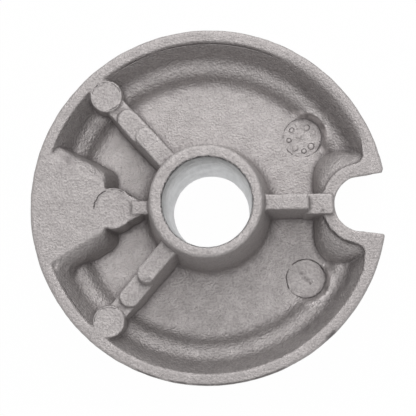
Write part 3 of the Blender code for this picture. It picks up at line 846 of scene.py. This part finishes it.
grain, given, made = group_with("cast_grain", [
    ("Pebble Scale", "INPUT", "NodeSocketFloat", PEBBLE_SCALE),
    ("Cloud Scale", "INPUT", "NodeSocketFloat", CLOUD_SCALE),
    ("Height", "OUTPUT", "NodeSocketFloat", 0),
    ("Cloud", "OUTPUT", "NodeSocketFloat", 0),
])
place = grain.nodes.new("ShaderNodeTexCoord").outputs["Object"]
fine = noise_at(grain, place, given.outputs["Pebble Scale"], PEBBLE_DETAIL)
lump_scale = maths(grain, "MULTIPLY", given.outputs["Pebble Scale"], LUMP_SCALE_SHARE)
lumps = noise_at(grain, place, lump_scale, LUMP_DETAIL)
fine = maths(grain, "MULTIPLY", fine, PEBBLE_WEIGHT)
lumps = maths(grain, "MULTIPLY", lumps, LUMP_WEIGHT)
grain.links.new(maths(grain, "ADD", fine, lumps), made.inputs["Height"])
grain.links.new(noise_at(grain, place, given.outputs["Cloud Scale"], CLOUD_DETAIL), made.inputs["Cloud"])

# A drawn ring: a wandering line round a centre, whole or between two bearings, that fades at
# its ends and breaks here and there. It serves for the seams, the lines of painted shade, the
# painted light round the inserts and the darker stretches of the wall's foot.
RING_RADIUS = 0.005
RING_WIDTH = 0.0002
RING_WANDER = 0.0002
ALL_ROUND = (-4, 4)  # radians, more than half a turn each way
RING_END_FADE = 0.12
WANDER_SCALE = 900
BREAK_SCALE = 420
BREAK_RANGE = (0.36, 0.58, 0.1, 1)
RING_DETAIL = 2

drawn_ring, given, made = group_with("drawn_ring", [
    ("Centre", "INPUT", "NodeSocketVector", (0, 0, 0)),
    ("Radius", "INPUT", "NodeSocketFloat", RING_RADIUS),
    ("Width", "INPUT", "NodeSocketFloat", RING_WIDTH),
    ("Wander", "INPUT", "NodeSocketFloat", RING_WANDER),
    ("From", "INPUT", "NodeSocketFloat", ALL_ROUND[0]),
    ("To", "INPUT", "NodeSocketFloat", ALL_ROUND[1]),
    ("Lowest", "INPUT", "NodeSocketFloat", 0),
    ("Line", "OUTPUT", "NodeSocketFloat", 0),
])
place = drawn_ring.nodes.new("ShaderNodeTexCoord").outputs["Object"]
offset = drawn_ring.nodes.new("ShaderNodeVectorMath")
offset.operation = "SUBTRACT"
drawn_ring.links.new(place, offset.inputs[0])
drawn_ring.links.new(given.outputs["Centre"], offset.inputs[1])
split = drawn_ring.nodes.new("ShaderNodeSeparateXYZ")
drawn_ring.links.new(offset.outputs[0], split.inputs[0])
height = drawn_ring.nodes.new("ShaderNodeSeparateXYZ")
drawn_ring.links.new(place, height.inputs[0])
across = long_side(drawn_ring, split.outputs["X"], split.outputs["Y"])
drift = noise_at(drawn_ring, place, WANDER_SCALE, RING_DETAIL)
drift = maths(drawn_ring, "SUBTRACT", drift, NOISE_MIDDLE)
drift = maths(drawn_ring, "MULTIPLY", drift, given.outputs["Wander"])
gap = maths(drawn_ring, "ADD", maths(drawn_ring, "SUBTRACT", across, given.outputs["Radius"]), drift)
line = faded(drawn_ring, maths(drawn_ring, "ABSOLUTE", gap), 0, given.outputs["Width"], 1, 0)
bearing = maths(drawn_ring, "ARCTAN2", split.outputs["Y"], split.outputs["X"])
soft_start = maths(drawn_ring, "ADD", given.outputs["From"], RING_END_FADE)
soft_finish = maths(drawn_ring, "SUBTRACT", given.outputs["To"], RING_END_FADE)
for share in (
        faded(drawn_ring, bearing, given.outputs["From"], soft_start),
        faded(drawn_ring, bearing, soft_finish, given.outputs["To"], 1, 0),
        maths(drawn_ring, "GREATER_THAN", height.outputs["Z"], given.outputs["Lowest"]),
        faded(drawn_ring, noise_at(drawn_ring, place, BREAK_SCALE, RING_DETAIL), *BREAK_RANGE)):
    line = maths(drawn_ring, "MULTIPLY", line, share)
drawn_ring.links.new(line, made.inputs["Line"])

# The skin's colour: pits and peaks of the grain, painted light on the floor, then painted shade
# with some dirt in hollows and creases, and edges painted lighter
METALLIC = 0.6
PIT_TO_PEAK = (0.36, 0.64)
PIT_COLOUR = (0.300, 0.280, 0.277, 1)
PEAK_COLOUR = (0.395, 0.368, 0.364, 1)
PAINTED_LIGHT_COLOUR = (0.60, 0.565, 0.56, 1)
PAINTED_LIGHT_LEVELS = (0.0102, 0.0122)
PAINTED_LIGHT_BEHIND = (-0.020, -0.008, 0.40, 0.08)
PAINTED_LIGHT_ABOVE = (-0.015, 0.025, 0, 0.16)
CREASE_COLOUR = (0.17, 0.155, 0.155, 1)
# Painted shade with some dirt in hollows and creases, and convex edges painted lighter
SHADES = [  # mask, its value at no shade and at full shade, strength, colour
    ("hollow", 0.1, 0.9, 0.32, (0.22, 0.20, 0.20, 1)),
    ("crease", 0.2, 1, 0.5, CREASE_COLOUR),
    ("crease", -0.3, -1, 0.22, (0.50, 0.47, 0.465, 1)),
]

material = bpy.data.materials.new("cast_aluminium_skin")
material.use_nodes = True
tree = material.node_tree
surface = tree.nodes["Principled BSDF"]
surface.inputs["Metallic"].default_value = METALLIC


def mixed(factor, first, second):
    """A blend of two colours, each a colour or a socket."""
    node = tree.nodes.new("ShaderNodeMix")
    node.data_type = "RGBA"
    tree.links.new(factor, node.inputs["Factor"])
    supply(tree, node.inputs["A"], first)
    supply(tree, node.inputs["B"], second)
    return node.outputs["Result"]


def tinted(first, mask, strength, tint):
    """A colour with this strength of a tint laid over it, where the mask is 1."""
    return mixed(maths(tree, "MULTIPLY", mask, strength), first, tint)


grains = tree.nodes.new("ShaderNodeGroup")
grains.node_tree = grain
colour = mixed(faded(tree, grains.outputs["Height"], *PIT_TO_PEAK), PIT_COLOUR, PEAK_COLOUR)
place = tree.nodes.new("ShaderNodeTexCoord").outputs["Object"]
split = tree.nodes.new("ShaderNodeSeparateXYZ")
tree.links.new(place, split.inputs[0])
# Painted light: the floor is lighter behind the hub and towards the upper side, lifting the shade that the
# hub and the walls throw on it
behind = faded(tree, split.outputs["X"], *PAINTED_LIGHT_BEHIND)
above = faded(tree, split.outputs["Y"], *PAINTED_LIGHT_ABOVE)
low_down = faded(tree, split.outputs["Z"], *PAINTED_LIGHT_LEVELS, 1, 0)
colour = mixed(maths(tree, "MULTIPLY", low_down, maths(tree, "ADD", behind, above)), colour, PAINTED_LIGHT_COLOUR)
sinks = {}
for name in ("crease", "hollow"):
    sinks[name] = tree.nodes.new("ShaderNodeAttribute")
    sinks[name].attribute_name = name
for name, start, finish, strength, tint in SHADES:
    colour = tinted(colour, faded(tree, sinks[name].outputs["Fac"], start, finish), strength, tint)

# Seams: fine dark lines where pins, inserts and the halves of the mould met the casting, and
# lines of painted shade along the collar's lower edge and the rim's edges
SEAM_AND_SHADE_COLOUR = (0.10, 0.09, 0.09, 1)
SEAM_AND_SHADE_STRENGTH = 0.8
PIN_SEAMS = ((0.00016, ALL_ROUND), (0.00010, (1, 4)), (0.00024, (0.9, 4)))  # width, bearings
PIN_SEAM_WANDER = 0.0005
PIN_SEAM_DROP = 0.0006
INSERT_SEAMS = ((0.00012, (-2.6, 4)), (0.00020, ALL_ROUND))  # width, bearings
INSERT_SEAM_INSET = 0.0001
INSERT_SEAM_WANDER = 0.0004
BUTTON_SEAM_GAP = 0.0002
BUTTON_SEAM_WIDTH = 0.00014
BUTTON_SEAM_WANDER = 0.0001
FLOOR_SEAM_DROP = 0.001
COLLAR_SHADE_WIDTH = 0.00048
COLLAR_SHADE_WANDER = 0.0006
COLLAR_SHADE_BEARINGS = (-3.05, -1.70)
COLLAR_SHADE_LEVEL = 0.0165
# Dark lines along the rim's edges: painted shade where the edges turn from the light, with a burr and a
# chip on the outer edge
RIM_BURR_AND_SHADE_LINES = [  # radius, width, wander, bearings in degrees
    (0.0416, 0.00020, 0.0002, 62, 124),
    (0.0416, 0.00020, 0.0003, -155, -138),
    (0.0448, 0.00032, 0.0003, -120, -60),
    (0.0447, 0.00090, 0.0004, -54, -40),
]
RIM_LINE_LEVEL = 0.0180


def ring_line(x, y, radius, width, wander, bearings, lowest):
    """The line of a drawn ring round the point (x, y), between two bearings and above a level."""
    drawn = tree.nodes.new("ShaderNodeGroup")
    drawn.node_tree = drawn_ring
    drawn.inputs["Centre"].default_value = (x, y, 0)
    values = {"Radius": radius, "Width": width, "Wander": wander, "Lowest": lowest}
    values["From"], values["To"] = bearings
    for label, value in values.items():
        drawn.inputs[label].default_value = value
    return drawn.outputs["Line"]


seam_and_shade_lines = []
for (x, y, radius), (width, bearings) in zip(pins, PIN_SEAMS):
    seam_and_shade_lines.append((
        x, y, radius - PIN_MARK_MARGIN, width, PIN_SEAM_WANDER, bearings, RIM_LEVEL - PIN_SEAM_DROP))
for angle, (width, bearings) in zip(INSERT_ANGLES, INSERT_SEAMS):
    seam_and_shade_lines.append((
        *polar(INSERT_DISTANCE, angle), INSERT_RADIUS - INSERT_SEAM_INSET, width, INSERT_SEAM_WANDER,
        bearings, FLOOR_LEVEL - FLOOR_SEAM_DROP))
for x, y, radius in BUTTONS[::2]:
    seam_and_shade_lines.append((
        upper_x + x, upper_y + y, radius + BUTTON_SEAM_GAP, BUTTON_SEAM_WIDTH, BUTTON_SEAM_WANDER,
        ALL_ROUND, FLOOR_LEVEL - FLOOR_SEAM_DROP))
# Painted shade: a dark band along the collar's lower edge, where its step turns from the light
seam_and_shade_lines.append((
    NOTCH_CENTRE, 0, COLLAR_RADIUS, COLLAR_SHADE_WIDTH, COLLAR_SHADE_WANDER,
    COLLAR_SHADE_BEARINGS, COLLAR_SHADE_LEVEL))
for radius, width, wander, start, finish in RIM_BURR_AND_SHADE_LINES:
    seam_and_shade_lines.append((0, 0, radius, width, wander, (math.radians(start), math.radians(finish)), RIM_LINE_LEVEL))
line = None
for values in seam_and_shade_lines:
    drawn = ring_line(*values)
    line = drawn if line is None else maths(tree, "MAXIMUM", line, drawn)
colour = tinted(colour, line, SEAM_AND_SHADE_STRENGTH, SEAM_AND_SHADE_COLOUR)

# Painted light beside each insert lifts the shade on its cut wall, and three stretches of the
# wall's foot are painted darker
INSERT_WALL_LIGHT_RADIUS = 0.0061
INSERT_WALL_LIGHT_WIDTH = 0.0019
INSERT_WALL_LIGHT_STRENGTH = 0.75
INSERT_WALL_LIGHT_COLOUR = (0.68, 0.64, 0.635, 1)
DARKER_FOOT_STRETCHES = [(14, 56, 0.0386), (-58, -18, 0.0391), (140, 168, 0.0374)]  # bearings in degrees, radius
DARKER_FOOT_WIDTH = 0.0030
DARKER_FOOT_WANDER = 0.0010
DARKER_FOOT_STRENGTH = 0.55

# Painted light on the cut wall round each insert, lifting the shade that falls there
for angle in INSERT_ANGLES:
    insert_light = ring_line(
        *polar(INSERT_DISTANCE, angle), INSERT_WALL_LIGHT_RADIUS, INSERT_WALL_LIGHT_WIDTH, 0, ALL_ROUND,
        FLOOR_LEVEL + PIN_MARK_DEPTH)
    colour = tinted(colour, insert_light, INSERT_WALL_LIGHT_STRENGTH, INSERT_WALL_LIGHT_COLOUR)
# Three stretches of the wall's foot painted darker
for start, finish, radius in DARKER_FOOT_STRETCHES:
    darker_foot = ring_line(
        0, 0, radius, DARKER_FOOT_WIDTH, DARKER_FOOT_WANDER, (math.radians(start), math.radians(finish)), 0)
    colour = tinted(colour, darker_foot, DARKER_FOOT_STRENGTH, CREASE_COLOUR)

# The bore, drawn off a steel core: lighter and a little bluer, partly from its smoother metal
# and partly as painted reflection of the white floor under it, with streaks along its axis.
# Painted shade darkens it towards the inlet, and the inlet has a dark ragged edge of rough chips
# and painted shade on the side that turns from the light.
BORE_COLOUR = (0.66, 0.665, 0.675, 1)
BORE_STREAK_TONE = 0.9
BORE_STREAK_SCALE = 1100
BORE_STREAK_DETAIL = 2
BORE_STREAK_STRETCH = (1, 1, 0.06)
BORE_STREAK_RANGE = (0.3, 0.7)
BORE_SHADE_COLOUR = (0.44, 0.44, 0.445, 1)
BORE_SHADE_LEVELS = (0.012, 0.032)
INLET_COLOUR = (0.13, 0.125, 0.125, 1)
INLET_RADII = (0.01110, 0.01150)
INLET_LEVELS = (0.0200, 0.0335)
INLET_RAG_SCALE = 1400
INLET_RAG_DETAIL = 3
INLET_RAG_DEPTH = 0.011
INLET_WOBBLE = 0.12
INLET_SIDE = (-0.5, 0.9)
INLET_SIDE_RANGE = (-0.008, 0.009, 0, 0.9)

from_throat = long_side(
    tree, maths(tree, "SUBTRACT", split.outputs["X"], THROAT_SHIFT_X),
    maths(tree, "SUBTRACT", split.outputs["Y"], THROAT_SHIFT_Y))
ragged = noise_at(tree, place, INLET_RAG_SCALE, INLET_RAG_DETAIL)
ragged = maths(tree, "MULTIPLY", maths(tree, "SUBTRACT", ragged, NOISE_MIDDLE), INLET_RAG_DEPTH)
from_throat = maths(tree, "ADD", from_throat, maths(tree, "MULTIPLY", ragged, INLET_WOBBLE))
in_bore = faded(tree, from_throat, *INLET_RADII, 1, 0)
# Painted shade: the inlet's edge is darker on the side that turns from the light
aslant = [maths(tree, "MULTIPLY", split.outputs[axis], share) for axis, share in zip("XY", INLET_SIDE)]
inlet_side = faded(tree, maths(tree, "ADD", *aslant), *INLET_SIDE_RANGE)
inlet_shade = faded(tree, maths(tree, "ADD", split.outputs["Z"], ragged), *INLET_LEVELS)
inlet_shade = maths(tree, "MULTIPLY", inlet_shade, inlet_side)
stretch = tree.nodes.new("ShaderNodeVectorMath")
stretch.operation = "MULTIPLY"
stretch.inputs[1].default_value = BORE_STREAK_STRETCH
tree.links.new(place, stretch.inputs[0])
streaks = noise_at(tree, stretch.outputs[0], BORE_STREAK_SCALE, BORE_STREAK_DETAIL)
streak_colour = tuple(BORE_STREAK_TONE * channel for channel in BORE_COLOUR[:3]) + (1,)
bore_tone = mixed(faded(tree, streaks, *BORE_STREAK_RANGE), streak_colour, BORE_COLOUR)
# Painted light and shade: the bore is darker towards the inlet and lighter towards its lower end, where
# light from the white floor comes up through it
bore_tone = mixed(faded(tree, split.outputs["Z"], *BORE_SHADE_LEVELS), bore_tone, BORE_SHADE_COLOUR)
bore_tone = mixed(inlet_shade, bore_tone, INLET_COLOUR)
tree.links.new(mixed(in_bore, colour, bore_tone), surface.inputs["Base Color"])

# Gloss and relief of the skin: cloudy patches of gloss, and the grain and seams in low relief
CLOUD_ROUGHNESS = (0.3, 0.7, 0.46, 0.58)
BORE_SMOOTHNESS = 0.15
BORE_FLATNESS = 0.8
SEAM_SINK = 0.5
RELIEF_DISTANCE = 0.00042

roughness = faded(tree, grains.outputs["Cloud"], *CLOUD_ROUGHNESS)
roughness = maths(tree, "SUBTRACT", roughness, maths(tree, "MULTIPLY", in_bore, BORE_SMOOTHNESS))
tree.links.new(roughness, surface.inputs["Roughness"])
lift = maths(tree, "SUBTRACT", grains.outputs["Height"], maths(tree, "MULTIPLY", line, SEAM_SINK))
grainy = maths(tree, "SUBTRACT", 1, maths(tree, "MULTIPLY", in_bore, BORE_FLATNESS))
lift = maths(tree, "MULTIPLY", lift, grainy)
relief = tree.nodes.new("ShaderNodeBump")
relief.inputs["Distance"].default_value = RELIEF_DISTANCE
tree.links.new(lift, relief.inputs["Height"])
tree.links.new(relief.outputs["Normal"], surface.inputs["Normal"])
crown.data.materials.clear()
crown.data.materials.append(material)
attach(crown, "root")
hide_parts("burner_crown")

# Floor: a plain white table under the casting, which the camera sees as white paper with
# only a trace of the casting's shadow.
FLOOR_SIZE = 6
FLOOR_TINT = (0.9, 0.9, 0.9, 1)
FLOOR_GLOW_SHARE = 0.985
WHITE = (1, 1, 1, 1)


def seen_directly(tree, share):
    """A factor of this share for camera, glossy and transmission rays, and 0 for the others."""
    path = tree.nodes.new("ShaderNodeLightPath")
    direct = maths(tree, "MAXIMUM", path.outputs["Is Camera Ray"], path.outputs["Is Glossy Ray"])
    direct = maths(tree, "MAXIMUM", direct, path.outputs["Is Transmission Ray"])
    return maths(tree, "MULTIPLY", direct, share)


def blended(tree, share, first, second, output):
    """Two shaders mixed by what sees them directly, and linked to this output."""
    blend = tree.nodes.new("ShaderNodeMixShader")
    tree.links.new(seen_directly(tree, share), blend.inputs["Fac"])
    tree.links.new(first.outputs[0], blend.inputs[1])
    tree.links.new(second.outputs[0], blend.inputs[2])
    tree.links.new(blend.outputs["Shader"], output.inputs["Surface"])


half = FLOOR_SIZE / 2
floor_mesh = bpy.data.meshes.new("floor")
floor_corners = [(-half, -half, 0), (half, -half, 0), (half, half, 0), (-half, half, 0)]
floor_mesh.from_pydata(floor_corners, [], [(0, 1, 2, 3)])
floor = bpy.data.objects.new("floor", floor_mesh)
bpy.context.scene.collection.objects.link(floor)
paper = bpy.data.materials.new("white_paper")
paper.use_nodes = True
tree = paper.node_tree
tree.nodes.clear()
diffuse = tree.nodes.new("ShaderNodeBsdfDiffuse")
diffuse.inputs["Color"].default_value = FLOOR_TINT
glow = tree.nodes.new("ShaderNodeEmission")
glow.inputs["Color"].default_value = WHITE
blended(tree, FLOOR_GLOW_SHARE, diffuse, glow, tree.nodes.new("ShaderNodeOutputMaterial"))
floor_mesh.materials.append(paper)

# Studio light: a pale surround, a broad soft lamp beyond the top of the casting, which rakes
# over its skin, and a weaker one overhead.
WORLD_LEVEL = 0.35
LAMPS = [  # name, place, width, power
    ("raking_lamp", (0.07, 0.78, 0.62), 0.9, 5.3),
    ("overhead_lamp", (0.02, 0.09, 0.99), 0.5, 2.7),
]

world = bpy.data.worlds.new("studio")
bpy.context.scene.world = world
world.use_nodes = True
tree = world.node_tree
tree.nodes.clear()
room = tree.nodes.new("ShaderNodeBackground")
room.inputs["Color"].default_value = WHITE
room.inputs["Strength"].default_value = WORLD_LEVEL
white = tree.nodes.new("ShaderNodeBackground")
white.inputs["Color"].default_value = WHITE
blended(tree, 1, room, white, tree.nodes.new("ShaderNodeOutputWorld"))

for name, place, size, power in LAMPS:
    lamp = bpy.data.lights.new(name, "AREA")
    lamp.shape = "DISK"
    lamp.size = size
    lamp.energy = power
    holder = bpy.data.objects.new(name, lamp)
    holder.location = place
    holder.rotation_euler = Vector(place).to_track_quat("Z", "Y").to_euler()
    bpy.context.scene.collection.objects.link(holder)

# Camera: nearly straight above the underside, leaning a little towards the lower right.
CAMERA_TARGET = Vector((-0.00005, -0.00038, RIM_LEVEL))
CAMERA_TILT = math.radians(6.25)
CAMERA_BEARING = math.radians(-68.6)
CAMERA_ROLL = math.radians(0.89)
CAMERA_DISTANCE = 0.6
VIEW_WIDTH = 0.1047
SENSOR_WIDTH = 36

view = Vector((*polar(math.sin(CAMERA_TILT), CAMERA_BEARING), math.cos(CAMERA_TILT)))
right = Vector((math.sin(CAMERA_ROLL), math.cos(CAMERA_ROLL), 0)).cross(view).normalized()
upward = view.cross(right)
camera_data = bpy.data.cameras.new("camera")
camera_data.sensor_width = SENSOR_WIDTH
camera_data.lens = SENSOR_WIDTH * CAMERA_DISTANCE / VIEW_WIDTH
camera = bpy.data.objects.new("camera", camera_data)
bpy.context.scene.collection.objects.link(camera)
turn = Matrix((right, upward, view)).transposed().to_4x4()
camera.matrix_world = Matrix.Translation(CAMERA_TARGET + view * CAMERA_DISTANCE) @ turn
bpy.context.scene.camera = camera
bpy.context.scene.view_settings.view_transform = "Standard"
